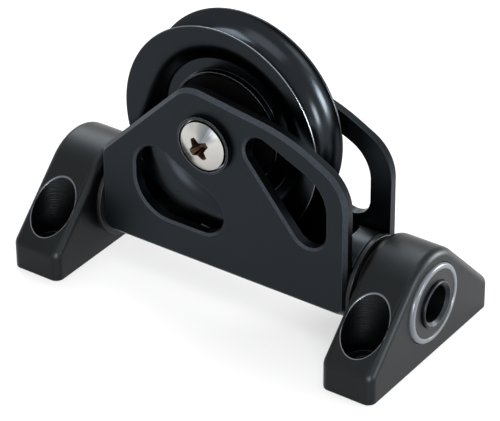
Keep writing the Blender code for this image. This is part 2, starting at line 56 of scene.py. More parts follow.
def feed(tree, socket, value):
    """Link a socket to an output, or set it to a plain value."""
    if isinstance(value, bpy.types.NodeSocket):
        tree.links.new(value, socket)
    else:
        socket.default_value = value


def math_node(tree, operation, *values, clamp=False):
    """The result of a Math node fed by outputs or plain numbers."""
    node = tree.nodes.new("ShaderNodeMath")
    node.operation = operation
    node.use_clamp = clamp
    for socket, value in zip(node.inputs, values):
        feed(tree, socket, value)
    return node.outputs[0]


def vector_node(tree, operation, *values):
    """The result of a Vector Math node fed by outputs or plain vectors."""
    node = tree.nodes.new("ShaderNodeVectorMath")
    node.operation = operation
    for socket, value in zip(node.inputs, values):
        feed(tree, socket, value)
    return node.outputs["Value" if operation in ("LENGTH", "DOT_PRODUCT") else "Vector"]


def mix_node(tree, share, under, over):
    """One colour laid over another by a share from 0 to 1."""
    node = tree.nodes.new("ShaderNodeMix")
    node.data_type = "RGBA"
    feed(tree, node.inputs["Factor"], share)
    for label, colour in (("A", under), ("B", over)):
        plain = not isinstance(colour, bpy.types.NodeSocket)
        feed(tree, node.inputs[label], (*colour, 1.0) if plain else colour)
    return node.outputs["Result"]


def noise_node(tree, place, scale, detail=2.0):
    """A cloudy value from 0 to 1 that changes from place to place."""
    node = tree.nodes.new("ShaderNodeTexNoise")
    node.inputs["Detail"].default_value = detail
    feed(tree, node.inputs["Vector"], place)
    feed(tree, node.inputs["Scale"], scale)
    return node.outputs["Fac"]


def range_node(tree, value, start, end, low=0.0, high=1.0):
    """A value that runs from low to high as another runs from start to end."""
    node = tree.nodes.new("ShaderNodeMapRange")
    feed(tree, node.inputs["Value"], value)
    for label, number in (("From Min", start), ("From Max", end), ("To Min", low), ("To Max", high)):
        node.inputs[label].default_value = number
    return node.outputs["Result"]


def coordinates(tree):
    """The outputs of a Texture Coordinate node."""
    return tree.nodes.new("ShaderNodeTexCoord").outputs


def way_from_axis(tree, place, point, across):
    """The way from an axis to a place, where across keeps only the two directions square to it."""
    return vector_node(tree, "MULTIPLY", vector_node(tree, "SUBTRACT", place, point), across)


def node_group(name, inputs, outputs):
    """An empty shader node group with named number sockets, its inputs and its outputs."""
    group = bpy.data.node_groups.new(name, "ShaderNodeTree")
    for label, value in inputs.items():
        socket = group.interface.new_socket(label, in_out="INPUT", socket_type="NodeSocketFloat")
        socket.default_value = value
    for label in outputs:
        group.interface.new_socket(label, in_out="OUTPUT", socket_type="NodeSocketFloat")
    return group, group.nodes.new("NodeGroupInput").outputs, group.nodes.new("NodeGroupOutput").inputs


def use_group(tree, group, settings):
    """The outputs of a node group, with the named inputs set."""
    node = tree.nodes.new("ShaderNodeGroup")
    node.node_tree = group
    for label, value in settings.items():
        node.inputs[label].default_value = value
    return node.outputs


# Edge wear and painted highlight: 1 where two faces meet, fading to 0 away from the edge,
# broken up by a noise. A bright edge colour uses it to paint thin highlights along the edges.
edge_gain = 9.0
edge_wear_and_highlight, edge_in, edge_out = node_group("edge wear and painted highlight", {"Reach": 0.0004, "Break Up": 900.0}, ["Mask"])
rounded_look = edge_wear_and_highlight.nodes.new("ShaderNodeBevel")
rounded_look.samples = 6
feed(edge_wear_and_highlight, rounded_look.inputs["Radius"], edge_in["Reach"])
surface = edge_wear_and_highlight.nodes.new("ShaderNodeNewGeometry")
agree = vector_node(edge_wear_and_highlight, "DOT_PRODUCT", rounded_look.outputs["Normal"], surface.outputs["Normal"])
turned_away = math_node(edge_wear_and_highlight, "SUBTRACT", 1.0, agree)
near_edge = math_node(edge_wear_and_highlight, "MULTIPLY", turned_away, edge_gain, clamp=True)
patches = noise_node(edge_wear_and_highlight, coordinates(edge_wear_and_highlight)["Object"], edge_in["Break Up"])
feed(edge_wear_and_highlight, edge_out["Mask"], math_node(edge_wear_and_highlight, "MULTIPLY", near_edge, patches))

# Blasted grain: the fine pitted texture under an anodised coat, and slow drifts in its tone.
grain, grain_in, grain_out = node_group(
    "blasted grain", {"Grain Size": 4000.0, "Drift Size": 60.0}, ["Height", "Drift"])
grain_place = coordinates(grain)["Object"]
feed(grain, grain_out["Height"], noise_node(grain, grain_place, grain_in["Grain Size"], 3.0))
feed(grain, grain_out["Drift"], noise_node(grain, grain_place, grain_in["Drift Size"], 4.0))


def add_bump(coat, height, depth, strength=1.0):
    """Raise a material's surface, on top of the bump that it has."""
    tree = coat.node_tree
    normal = tree.nodes["Principled BSDF"].inputs["Normal"]
    bump = tree.nodes.new("ShaderNodeBump")
    bump.inputs["Distance"].default_value = depth
    bump.inputs["Strength"].default_value = strength
    feed(tree, bump.inputs["Height"], height)
    for link in normal.links:
        feed(tree, bump.inputs["Normal"], link.from_socket)
    feed(tree, normal, bump.outputs["Normal"])


def paint_over(coat, mask, colour):
    """Lay a colour over a material's own where a mask is 1."""
    base = coat.node_tree.nodes["Principled BSDF"].inputs["Base Color"]
    feed(coat.node_tree, base, mix_node(coat.node_tree, mask, base.links[0].from_socket, colour))


def make_finish(name, dark, light, roughness, edge_colour, edge_share=0.5, grain_size=4000.0,
                depth=0.00002, edge_reach=0.0004, metallic=0.0, specular=0.5):
    """A material of two close tones that drift, with a pitted grain and paler edges: wear, and a painted
    highlight where the edge colour is bright.
    """
    coat = bpy.data.materials.new(name)
    coat.use_nodes = True
    tree = coat.node_tree
    shader = tree.nodes["Principled BSDF"]
    shader.inputs["Metallic"].default_value = metallic
    shader.inputs["Specular IOR Level"].default_value = specular
    grained = use_group(tree, grain, {"Grain Size": grain_size})
    edge_lines = use_group(tree, edge_wear_and_highlight, {"Reach": edge_reach})
    feed(tree, shader.inputs["Base Color"], mix_node(tree, grained["Drift"], dark, light))
    paint_over(coat, math_node(tree, "MULTIPLY", edge_lines["Mask"], edge_share), edge_colour)
    spread = 0.05
    uneven = range_node(tree, grained["Drift"], 0.0, 1.0, roughness - spread, roughness + spread)
    feed(tree, shader.inputs["Roughness"], uneven)
    add_bump(coat, grained["Height"], depth, strength=0.6)
    return coat


def only(kind, items):
    """The vertices or edges in a mixed list."""
    return [item for item in items if isinstance(item, kind)]


def rounded_loop(shape, corners, axis, along):
    """A closed wire across an axis whose corners, (a, b, radius), are each rounded by an arc."""
    spots = {"X": lambda a, b: (along, a, b), "Y": lambda a, b: (a, along, b)}
    points = [Vector(spots[axis](a, b)) for a, b, _ in corners]
    arcs = []
    for index, here in enumerate(points):
        radius = corners[index][2]
        back = (points[index - 1] - here).normalized()
        ahead = (points[(index + 1) % len(points)] - here).normalized()
        half = back.angle(ahead) / 2
        if radius == 0:
            vert = shape.verts.new(here)
            arcs.append((vert, vert))
            continue
        centre = here + (back + ahead).normalized() * radius / math.sin(half)
        sweep = math.pi - 2 * half
        first = shape.verts.new(here + back * radius / math.tan(half))
        spun = bmesh.ops.spin(shape, geom=[first], cent=centre, axis=ahead.cross(back), angle=sweep,
                              steps=max(3, round(math.degrees(sweep) / 4)), use_merge=False,
                              use_duplicate=False)
        arcs.append((first, only(bmesh.types.BMVert, spun["geom_last"])[0]))
    for index, (first, _) in enumerate(arcs):
        shape.edges.new((arcs[index - 1][1], first))
    bmesh.ops.remove_doubles(shape, verts=shape.verts, dist=0.001)


def rounded_face(corners, axis, along):
    """A flat face inside such a wire."""
    shape = bmesh.new()
    rounded_loop(shape, corners, axis, along)
    bmesh.ops.contextual_create(shape, geom=shape.edges[:])
    return shape


def draw_out(shape, vector):
    """Extrude a flat face into a solid."""
    grown = bmesh.ops.extrude_face_region(shape, geom=shape.faces[:])
    bmesh.ops.translate(shape, verts=only(bmesh.types.BMVert, grown["geom"]), vec=vector)
    bmesh.ops.recalc_face_normals(shape, faces=shape.faces)
    return shape


def round_edges(shape, chosen, size, segments):
    """Bevel the sharp edges that a test picks."""
    sharp = math.radians(30)
    edges = [edge for edge in shape.edges if edge.calc_face_angle(0) > sharp and chosen(edge)]
    bmesh.ops.bevel(shape, geom=edges, offset=size, offset_type="OFFSET", segments=segments,
                    profile=0.5, affect="EDGES", material=-1, clamp_overlap=False)


def mirrored(corners, side):
    """A section as it is for side 1, and turned end for end for side -1."""
    return [(radius, side * along, corner) for radius, along, corner in corners]


def lathe(corners, axis, centre, steps=96):
    """A solid turned about an axis from the corners of its section, (radius, along, corner radius)."""
    to_axis = {"X": Matrix.Rotation(math.radians(90), 4, "Y"),
               "Y": Matrix.Rotation(math.radians(-90), 4, "X"),
               "Z": Matrix.Identity(4)}[axis]
    shape = rounded_face(corners, "Y", 0)
    bmesh.ops.delete(shape, geom=shape.faces[:], context="FACES_ONLY")
    bmesh.ops.spin(shape, geom=shape.verts[:] + shape.edges[:], cent=(0, 0, 0), axis=(0, 0, 1),
                   angle=2 * math.pi, steps=steps, use_merge=True, use_duplicate=False)
    bmesh.ops.remove_doubles(shape, verts=shape.verts, dist=0.0005)
    bmesh.ops.dissolve_degenerate(shape, edges=shape.edges, dist=0.0001)
    bmesh.ops.transform(shape, matrix=Matrix.Translation(centre) @ to_axis, verts=shape.verts)
    bmesh.ops.recalc_face_normals(shape, faces=shape.faces)
    return shape


def add_object(name, data):
    """An object in the scene for a mesh, a lamp or a camera."""
    made = bpy.data.objects.new(name, data)
    bpy.context.scene.collection.objects.link(made)
    return made


def as_object(name, shape, finish):
    """An object at the origin from a shape in millimetres."""
    bmesh.ops.scale(shape, vec=(mm, mm, mm), verts=shape.verts)
    mesh = bpy.data.meshes.new(name)
    shape.to_mesh(mesh)
    shape.free()
    mesh.materials.append(finish)
    return add_object(name, mesh)


def settle(target):
    """Apply the modifiers of an object to its mesh."""
    graph = bpy.context.evaluated_depsgraph_get()
    mesh = bpy.data.meshes.new_from_object(target.evaluated_get(graph))
    target.modifiers.clear()
    target.data = mesh


def carve(target, tool_shape, operation="DIFFERENCE"):
    """Cut a shape away from an object, or join it on, and keep only the result."""
    tool = as_object("tool", tool_shape, target.data.materials[0])
    boolean = target.modifiers.new("boolean", "BOOLEAN")
    boolean.operation = operation
    boolean.solver = "EXACT"
    boolean.object = tool
    settle(target)
    bpy.data.objects.remove(tool)


def soften(target, width, angle):
    """Round every edge sharper than an angle, as tumbling or a file does."""
    bevel = target.modifiers.new("soft edges", "BEVEL")
    bevel.width = width * mm
    bevel.segments = 2
    bevel.limit_method = "ANGLE"
    bevel.angle_limit = math.radians(angle)
    bevel.use_clamp_overlap = False
    settle(target)


def fit(piece, body, node, smooth=28):
    """Shade a finished piece smooth where it is round, tie it to its body, and hide the CAD node that it
    replaces.
    """
    piece.data.shade_smooth()
    piece.data.set_sharp_from_angle(angle=math.radians(smooth))
    flat_faces = piece.modifiers.new("flat faces stay flat", "WEIGHTED_NORMAL")
    flat_faces.keep_sharp = True
    settle(piece)
    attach(piece, body)
    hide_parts(node)


# Tool marks: the fine rings that the counterbore cutter leaves on the wall of each screw hole,
# and a mask for the narrow rim round its mouth, which is painted paler as a painted highlight.
ring_stretch = (0.06, 0.06, 1)
wall_margin, rim_margin = 0.02, 0.26
tool_marks_and_rim_highlight, marks_in, marks_out = node_group("tool marks and rim highlight", {"Ring Size": 2600.0}, ["Height", "Rim"])
marks_place = coordinates(tool_marks_and_rim_highlight)["Object"]
folded = vector_node(tool_marks_and_rim_highlight, "ABSOLUTE", marks_place)
beside_hole = way_from_axis(tool_marks_and_rim_highlight, folded, (screw_out * mm, screw_across * mm, 0), (1, 1, 0))
hole_distance = vector_node(tool_marks_and_rim_highlight, "LENGTH", beside_hole)
on_wall = math_node(tool_marks_and_rim_highlight, "LESS_THAN", hole_distance, (counterbore_radius + wall_margin) * mm)
near_wall = math_node(tool_marks_and_rim_highlight, "LESS_THAN", hole_distance, (counterbore_radius + rim_margin) * mm)
stretched = vector_node(tool_marks_and_rim_highlight, "MULTIPLY", marks_place, ring_stretch)
rings = noise_node(tool_marks_and_rim_highlight, stretched, marks_in["Ring Size"])
feed(tool_marks_and_rim_highlight, marks_out["Height"], math_node(tool_marks_and_rim_highlight, "MULTIPLY", on_wall, rings))
feed(tool_marks_and_rim_highlight, marks_out["Rim"], math_node(tool_marks_and_rim_highlight, "SUBTRACT", near_wall, on_wall))

# The feet's pale edge colour paints thin highlights along their soft edges.
foot_coat = make_finish(
    "anodised foot", dark=(0.0140, 0.0158, 0.0172), light=(0.0192, 0.0213, 0.0229), roughness=0.42,
    edge_colour=(0.24, 0.265, 0.29), edge_share=1.0, grain_size=3500.0, edge_reach=0.00025, metallic=1.0)
ring_depth = 0.00008
marks_and_rim_highlight = use_group(foot_coat.node_tree, tool_marks_and_rim_highlight, {})
add_bump(foot_coat, marks_and_rim_highlight["Height"], ring_depth)
# Paint the narrow rim round each counterbore's mouth paler: a painted highlight.
paint_over(foot_coat, marks_and_rim_highlight["Rim"], (0.12, 0.135, 0.15))


def round_a_side(edge):
    """True for the edges round the two sides of a foot, but not for those on the deck."""
    near, far = edge.verts
    return abs(near.co.x - far.co.x) < 0.01 and max(near.co.z, far.co.z) > 0.01


crest_top = swing_height + foot_crest * math.sqrt(2)
toe_height = crest_top - foot_reach
foot_outline = [(-foot_reach, 0, 0), (-foot_reach, toe_height, foot_toe_round), (0, crest_top, foot_crest),
                (foot_reach, toe_height, foot_toe_round), (foot_reach, 0, 0)]
bush_floor = foot_outer - bush_seat_depth
bush_bore = [(0, foot_inner - overrun, 0), (bush_bore_radius, foot_inner - overrun, 0),
             (bush_bore_radius, bush_floor, 0), (bush_seat_radius, bush_floor, 0),
             (bush_seat_radius, foot_outer + overrun, 0), (0, foot_outer + overrun, 0)]
screw_hole = [(0, -overrun, 0), (screw_hole_radius, -overrun, 0), (screw_hole_radius, screw_seat, 0),
              (counterbore_radius, screw_seat, 0), (counterbore_radius, crest_top, 0), (0, crest_top, 0)]
for label, side in ends:
    blank = rounded_face(foot_outline, "X", side * foot_inner)
    draw_out(blank, (side * (foot_outer - foot_inner), 0, 0))
    round_edges(blank, round_a_side, foot_side_round, 8)
    foot = as_object("deck_foot_" + label, blank, foot_coat)
    carve(foot, lathe(mirrored(bush_bore, side), "X", pivot))
    for across in (-screw_across, screw_across):
        carve(foot, lathe(screw_hole, "Z", (side * screw_out, across, 0), 64))
    soften(foot, foot_edge_round, 40)
    fit(foot, "feet", "foot_" + label)

# Pivot bushes. Grey acetal sleeves turned with a flange, one pressed into each side of a foot.
# The outer flange ends in a domed bead round a sunk face. The bead is painted pale as a painted
# highlight, and the acetal of the face is darkened as painted shade.
bush_inner_radius, bush_outer_radius, bush_flange, bush_lip_radius = 6.35, 7.95, 10.35, 6.15
lip_depth, lip_round = 0.3, 0.1
bead_radius, bead_proud, bead_dome, bead_edge = 9.1, 0.82, 0.8, 0.12
face_proud, face_step = 0.58, 0.15
seat_gap = 0.3
bush_plastic = make_finish(
    "grey acetal", dark=(0.004, 0.0046, 0.0054), light=(0.007, 0.008, 0.0092), roughness=0.40,
    edge_colour=(0.06, 0.066, 0.075), edge_share=0.8, grain_size=2500.0, depth=0.00001,
    edge_reach=0.0002, specular=0.22)
# A paler copy of the acetal for the bead's faces: a painted highlight.
bead_painted_highlight = make_finish(
    "acetal bead painted highlight", dark=(0.055, 0.062, 0.072), light=(0.080, 0.090, 0.103), roughness=0.28,
    edge_colour=(0.28, 0.31, 0.34), edge_share=0.9, grain_size=2500.0, depth=0.00001,
    edge_reach=0.0002)


def turned_on_pivot(name, corners, side, finish):
    """A piece turned about the swing axis, from the section that it has on the right."""
    return as_object(name, lathe(mirrored(corners, side), "X", pivot), finish)


def coat_cad_node(name, finish):
    """Give a CAD node that stays as it is its own finish."""
    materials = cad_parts[name].data.materials
    materials.clear()
    materials.append(finish)


bush_end = (foot_inner + foot_outer) / 2 + seat_gap
bush_seat = foot_outer - bush_seat_depth + seat_gap
bead_top = foot_outer + bead_proud
sunk_face = foot_outer + face_proud
outer_bush = [
    (bush_inner_radius, bush_end, 0), (bush_outer_radius, bush_end, 0), (bush_outer_radius, bush_seat, 0),
    (bush_flange, bush_seat, 0), (bush_flange, bead_top, bead_dome), (bead_radius, bead_top, bead_edge),
    (bead_radius - face_step, sunk_face, 0), (bush_lip_radius, sunk_face, lip_round),
    (bush_lip_radius, foot_outer, 0), (bush_inner_radius, foot_outer - lip_depth, 0)]
for label, side in ends:
    bush = turned_on_pivot("outer_bush_" + label, outer_bush, side, bush_plastic)
    bush.data.materials.append(bead_painted_highlight)
    # The bead's faces take the painted highlight copy.
    for face in bush.data.polygons:
        beside = math.hypot(face.center.y, face.center.z - swing_height * mm)
        if beside > (bead_radius - bead_edge) * mm:
            face.material_index = 1
    fit(bush, "feet", "pivot_bush_outer_" + label)
    coat_cad_node("pivot_bush_inner_" + label, bush_plastic)

# Thrust washers. Acetal discs that keep the frame's ends off the feet. Only their rims show.
washer_radius, washer_near, washer_far, washer_edge = 12.0, 37.2, 38.3, 0.2
thrust_washer = [(bush_inner_radius, washer_near, 0), (washer_radius, washer_near, washer_edge),
                 (washer_radius, washer_far, washer_edge), (bush_inner_radius, washer_far, 0)]
for label, side in ends:
    washer = turned_on_pivot("thrust_disc_" + label, thrust_washer, side, bush_plastic)
    fit(washer, "feet", "thrust_washer_" + label)

# Pivot pins. Turned, bored and countersunk aluminium, black anodised, screwed into the frame's
# ends with a hexagon key at the bottom of the bore.
pin_radius, pin_bore, pin_spigot = 6.05, 4.75, 4.5
pin_inner, pin_proud, pin_bore_depth = 32.0, 1.5, 13
mouth_lip, mouth_edge, pin_edge = 0.5, 0.1, 0.35
key_radius, key_length, key_middle = 2.887, 20, 4
pin_coat = make_finish(
    "anodised pin", dark=(0.013, 0.0155, 0.018), light=(0.018, 0.021, 0.024), roughness=0.38,
    edge_colour=(0.06, 0.068, 0.08), edge_share=0.3, metallic=1.0)
pin_mouth = foot_outer + pin_proud
pin_floor = pin_mouth - pin_bore_depth
countersink_end = pin_mouth - (pin_radius - pin_bore - mouth_lip)
hollow_pin = [
    (0, pin_inner, 0), (pin_spigot, pin_inner, 0), (pin_spigot, washer_near, 0),
    (pin_radius, washer_near, 0), (pin_radius, pin_mouth, pin_edge),
    (pin_radius - mouth_lip, pin_mouth, mouth_edge), (pin_bore, countersink_end, mouth_edge),
    (pin_bore, pin_floor, 0), (0, pin_floor, 0)]
for label, side in ends:
    pin = turned_on_pivot("hollow_pin_" + label, hollow_pin, side, pin_coat)
    key = bmesh.new()
    to_key = Matrix.Translation((side * (pin_inner + key_middle), 0, swing_height))
    bmesh.ops.create_cone(key, cap_ends=True, segments=6, radius1=key_radius, radius2=key_radius,
                          depth=key_length, matrix=to_key @ Matrix.Rotation(math.radians(90), 4, "Y"))
    carve(pin, key)
    fit(pin, "swinging_frame", "pivot_pin_" + label)

# Swinging frame. One aluminium forging, milled to two slotted cheeks that a floor and two round
# bosses join, with a wide chamfer round each cheek, then anodised satin black.
cheek_outer, cheek_inner, cheek_bottom = 11.4, 8.4, 9.8
cheek_chamfer, slot_chamfer, frame_edge_round = 0.95, 0.55, 0.15
cheek_outline = [(-36.7, cheek_bottom, 3), (-36.7, 33.4, 4), (-10.4, 59.7, 9), (19.7, 55.2, 45),
                 (36.7, 46.1, 11.7), (36.7, cheek_bottom, 3)]
low_slot = [(-26, 43.2, 6.5), (-26, 19.4, 10), (19.7, 19.4, 6.2)]
high_slot = [(-3.5, 59, 4.3), (30.7, 43.5, 10), (30.7, 17.4, 5)]
sheave_x, sheave_height, axle_hole_radius = -4.0, 45.5, 6.9
axle_centre = (sheave_x, 0, sheave_height)
boss_radius, boss_rise, boss_face, boss_back = 11.1, 0.7, 36.9, 25.0
boss_half_width, boss_edge_round = 9.9, 0.5
pocket_end, floor_top, floor_length = 23.3, 12.2, 53.4
spigot_bore_start = 27
frame_coat = make_finish(
    "anodised frame", dark=(0.0162, 0.0203, 0.0238), light=(0.0192, 0.0238, 0.0278), roughness=0.38,
    edge_colour=(0.13, 0.15, 0.18), edge_share=0.6, metallic=1.0)


def facing_y(tree):
    """How far a surface faces along Y, from -1 to 1."""
    parts = tree.nodes.new("ShaderNodeSeparateXYZ")
    feed(tree, parts.inputs[0], coordinates(tree)["Normal"])
    return parts.outputs["Y"]


# The chamfers round the cheeks and slots are painted paler, with specks: a painted highlight. They
# are the faces that lean 45 degrees across the frame, which their normal tells.
lean_of_45, lean_margin = 0.707, 0.12
speck_scale, speck_start, speck_end, speck_least = 5200.0, 0.45, 0.75, 0.25
frame_tree = frame_coat.node_tree
lean = math_node(frame_tree, "ABSOLUTE", facing_y(frame_tree))
chamfer_highlight_mask = math_node(frame_tree, "COMPARE", lean, lean_of_45, lean_margin)
sparkle = noise_node(frame_tree, coordinates(frame_tree)["Object"], speck_scale)
specks = range_node(frame_tree, sparkle, speck_start, speck_end, low=speck_least)
# Paint the chamfers paler: a painted highlight.
paint_over(frame_coat, math_node(frame_tree, "MULTIPLY", chamfer_highlight_mask, specks), (0.085, 0.098, 0.118))


def flat_place(vert):
    """Where a vertex lies on the cheek, to a thousandth of a millimetre."""
    return round(vert.co.x, 3), round(vert.co.z, 3)


def cheek_blank(side):
    """One cheek: a slotted plate drawn out, with its outer rim and its slots chamfered."""
    shape = bmesh.new()
    rims = []
    for corners in (cheek_outline, low_slot, high_slot):
        before = set(shape.verts)
        rounded_loop(shape, corners, "Y", side * cheek_inner)
        rims.append({flat_place(vert) for vert in set(shape.verts) - before})
    to_axle = Matrix.Translation((sheave_x, side * cheek_inner, sheave_height))
    bmesh.ops.create_circle(shape, segments=96, radius=axle_hole_radius,
                            matrix=to_axle @ Matrix.Rotation(math.pi / 2, 4, "X"))
    bmesh.ops.triangle_fill(shape, use_beauty=True, edges=shape.edges[:])
    draw_out(shape, (0, side * (cheek_outer - cheek_inner), 0))
    for size, spots in ((cheek_chamfer, rims[0]), (slot_chamfer, rims[1] | rims[2])):
        round_edges(shape, lambda edge: all(abs(abs(vert.co.y) - cheek_outer) < 0.001
                                            and flat_place(vert) in spots for vert in edge.verts), size, 1)
    return shape


def cut_off(shape, point, outward):
    """Cut away what lies outside a plane, and return the edges of the cut."""
    cut = bmesh.ops.bisect_plane(shape, geom=shape.verts[:] + shape.edges[:] + shape.faces[:],
                                 plane_co=point, plane_no=outward, clear_outer=True)
    return only(bmesh.types.BMEdge, cut["geom_cut"])


def boss_blank(side):
    """The round end that joins the cheeks, kept inside their outer faces."""
    shape = bmesh.new()
    to_back = Matrix.Translation((side * boss_back, 0, swing_height + boss_rise))
    bmesh.ops.create_circle(shape, cap_ends=True, segments=96, radius=boss_radius,
                            matrix=to_back @ Matrix.Rotation(math.radians(90), 4, "Y"))
    draw_out(shape, (side * (boss_face - boss_back), 0, 0))
    round_edges(shape, lambda edge: all(abs(abs(vert.co.x) - boss_face) < 0.001 for vert in edge.verts),
                boss_edge_round, 3)
    for across in (-1, 1):
        rim = cut_off(shape, (0, across * boss_half_width, 0), (0, across, 0))
        bmesh.ops.holes_fill(shape, edges=rim)
    bmesh.ops.recalc_face_normals(shape, faces=shape.faces)
    return shape


milled = as_object("milled_frame", cheek_blank(-1), frame_coat)
carve(milled, cheek_blank(1), "UNION")
floor_web = bmesh.new()
floor_size = Matrix.Diagonal((floor_length, 2 * boss_half_width, floor_top - cheek_bottom, 1))
bmesh.ops.create_cube(floor_web, size=1.0,
                      matrix=Matrix.Translation((0, 0, (cheek_bottom + floor_top) / 2)) @ floor_size)
carve(milled, floor_web, "UNION")
for side in (-1, 1):
    carve(milled, boss_blank(side), "UNION")
pocket = [(0, floor_top, 0), (cheek_inner, floor_top, 0), (cheek_inner, sheave_height, 0),
          (0, sheave_height, 0)]
spigot_bore = [(0, spigot_bore_start, 0), (pin_spigot + seat_gap, spigot_bore_start, 0),
               (pin_spigot + seat_gap, foot_inner, 0), (0, foot_inner, 0)]
for side in (-1, 1):
    carve(milled, lathe(pocket, "Z", (side * pocket_end, 0, 0)))
    carve(milled, lathe(mirrored(spigot_bore, side), "X", pivot))
soften(milled, frame_edge_round, 60)
fit(milled, "swinging_frame", "frame")

# Bearing and axle. A tapped steel axle, hard anodised races and a plastic cage with twelve
# rollers. Only the cover rings and the outer race's edge are seen past the cheeks.
race_coat = make_finish(
    "hard anodised race", dark=(0.030, 0.030, 0.032), light=(0.050, 0.050, 0.052), roughness=0.30,
    edge_colour=(0.2, 0.2, 0.2), metallic=0.6)
roller_plastic = make_finish(
    "roller plastic", dark=(0.30, 0.24, 0.13), light=(0.40, 0.32, 0.18), roughness=0.38,
    edge_colour=(0.5, 0.42, 0.3), edge_share=0.3)
# Near black with almost no sheen: the covers' and spacers' black, darkened further as painted shade in the
# sheave's middle.
black_plastic = make_finish(
    "black acetal", dark=(0.0015, 0.0015, 0.0016), light=(0.003, 0.003, 0.0032), roughness=0.6,
    edge_colour=(0.012, 0.013, 0.014), edge_share=0.3, specular=0.05)
steel = make_finish(
    "drawn stainless", dark=(0.50, 0.49, 0.47), light=(0.60, 0.59, 0.57), roughness=0.25,
    edge_colour=(0.7, 0.7, 0.7), metallic=1.0)
for finish, names in (
        (steel, ["axle"]),
        (race_coat, ["inner_race", "outer_race"]),
        (black_plastic, ["roller_cage", "bearing_cover_front", "bearing_cover_rear",
                         "axle_spacer_front", "axle_spacer_rear"]),
        (roller_plastic, ["roller_%02d" % number for number in range(1, 13)])):
    for name in names:
        coat_cad_node(name, finish)

# Sheave. Turned aluminium with a shallow round groove, a dished flank and a thin web, polished
# and anodised glossy black. Its edges and the outer corners of its two rims are painted pale: a
# painted highlight.
highlight_from_radius = 28.2
corner_lean, corner_margin = 0.62, 0.32
sheave_coat = make_finish(
    "anodised sheave", dark=(0.0190, 0.0224, 0.0258), light=(0.0220, 0.0260, 0.0295), roughness=0.23,
    edge_colour=(0.45, 0.48, 0.52), edge_share=1.0, grain_size=5000.0, depth=0.000006,
    edge_reach=0.0003, metallic=1.0)
sheave_tree = sheave_coat.node_tree
sheave_tree.nodes["Principled BSDF"].inputs["Specular Tint"].default_value = (0.4, 0.4, 0.4, 1.0)


def way_from_axle(tree):
    """The way from the sheave's axis to a place on the piece."""
    place = coordinates(tree)["Object"]
    return way_from_axis(tree, place, (sheave_x * mm, 0, sheave_height * mm), (1, 0, 1))


# Paint the outer corners of both rims pale: a painted highlight.
wheel_reach = vector_node(sheave_tree, "LENGTH", way_from_axle(sheave_tree))
at_rim = math_node(sheave_tree, "GREATER_THAN", wheel_reach, highlight_from_radius * mm)
wheel_place = sheave_tree.nodes.new("ShaderNodeSeparateXYZ")
feed(sheave_tree, wheel_place.inputs[0], coordinates(sheave_tree)["Object"])
which_half = math_node(sheave_tree, "SIGN", wheel_place.outputs["Y"])
outward = math_node(sheave_tree, "MULTIPLY", facing_y(sheave_tree), which_half)
on_corner = math_node(sheave_tree, "COMPARE", outward, corner_lean, corner_margin)
paint_over(sheave_coat, math_node(sheave_tree, "MULTIPLY", at_rim, on_corner), (0.20, 0.22, 0.245))

half_sheave = [(15, 3.8, 0.1), (15.6, 3.8, 0.1), (15.6, 2, 0), (18.8, 2, 1.5), (22.7, 5.1, 9),
               (28.5, 5.8, 0.2), (28.5, 5.3, 0.2), (24.43, 4.21, 5.2)]
sheave_section = half_sheave + mirrored(reversed(half_sheave), -1)
wheel = as_object("grooved_sheave", lathe(sheave_section, "Y", axle_centre, 180), sheave_coat)
fit(wheel, "turning_sheave", "sheave", 40)

# Axle cups. Turned aluminium, black anodised, countersunk for the screws. One sits in each
# cheek and stands out of it round the screw's head.
cup_radius, cup_face, cup_spigot, cup_bore = 7.65, 12.9, 6.6, 3.45
cup_back, cup_seat, cup_wall = 8.7, 9.4, 1.1
cup_edge, cup_mouth_edge = 0.25, 0.12
head_radius, head_clearance = 6.45, 0.5
# The cup's bright edge colour paints thin highlights round its rims.
cup_coat = make_finish(
    "anodised cup", dark=(0.014, 0.017, 0.020), light=(0.018, 0.021, 0.024), roughness=0.26,
    edge_colour=(0.50, 0.53, 0.57), edge_share=1.6, edge_reach=0.00025, metallic=1.0)
cup_shoulder = cheek_outer + seat_gap
cup_mouth = head_radius + head_clearance
cup_section = [(cup_bore, cup_back, 0), (cup_spigot, cup_back, 0), (cup_spigot, cup_shoulder, 0),
               (cup_radius, cup_shoulder, 0), (cup_radius, cup_face, cup_edge),
               (cup_mouth, cup_face, cup_mouth_edge), (cup_mouth, cup_face - cup_wall, 0),
               (cup_bore, cup_seat, 0)]
faces = (("front", -1), ("rear", 1))
for label, side in faces:
    cup = as_object("screw_cup_" + label, lathe(mirrored(cup_section, side), "Y", axle_centre), cup_coat)
    fit(cup, "swinging_frame", "axle_cup_" + label)

# Axle screws. Stainless, oval-headed, turned and polished, with a punched cross recess. Its walls
# are painted dark brown as painted shade and a painted reflection, with pale edges as a painted
# highlight. One goes through each cup into the axle.
head_rim, head_dome, head_edge_round = cup_face + 0.05, 1.9, 0.08
shank_radius, shank_end, screw_end, end_chamfer = 3.15, 10.8, 11.6, 0.8
recess_turn = math.radians(37)
arm_reach, arm_half_width, arm_root = 3.5, 0.72, 1.35
recess_start, recess_depth, recess_taper = 0.3, 3.4, 0.4
wall_reach, wall_depth, head_skin = 3.4, 2.4, 0.12
bright_steel = make_finish(
    "polished stainless", dark=(0.44, 0.43, 0.41), light=(0.56, 0.545, 0.52), roughness=0.27,
    edge_colour=(0.85, 0.85, 0.85), edge_share=0.3, grain_size=3000.0, depth=0.000005, metallic=1.0)
# Dark brown walls as painted shade and painted reflection, with pale edges as painted highlight.
recess_painted_shade = make_finish(
    "recess wall painted shade", dark=(0.055, 0.030, 0.019), light=(0.15, 0.092, 0.057), roughness=0.36,
    edge_colour=(0.5, 0.4, 0.3), edge_share=0.9, grain_size=2500.0, depth=0.00001, metallic=1.0)

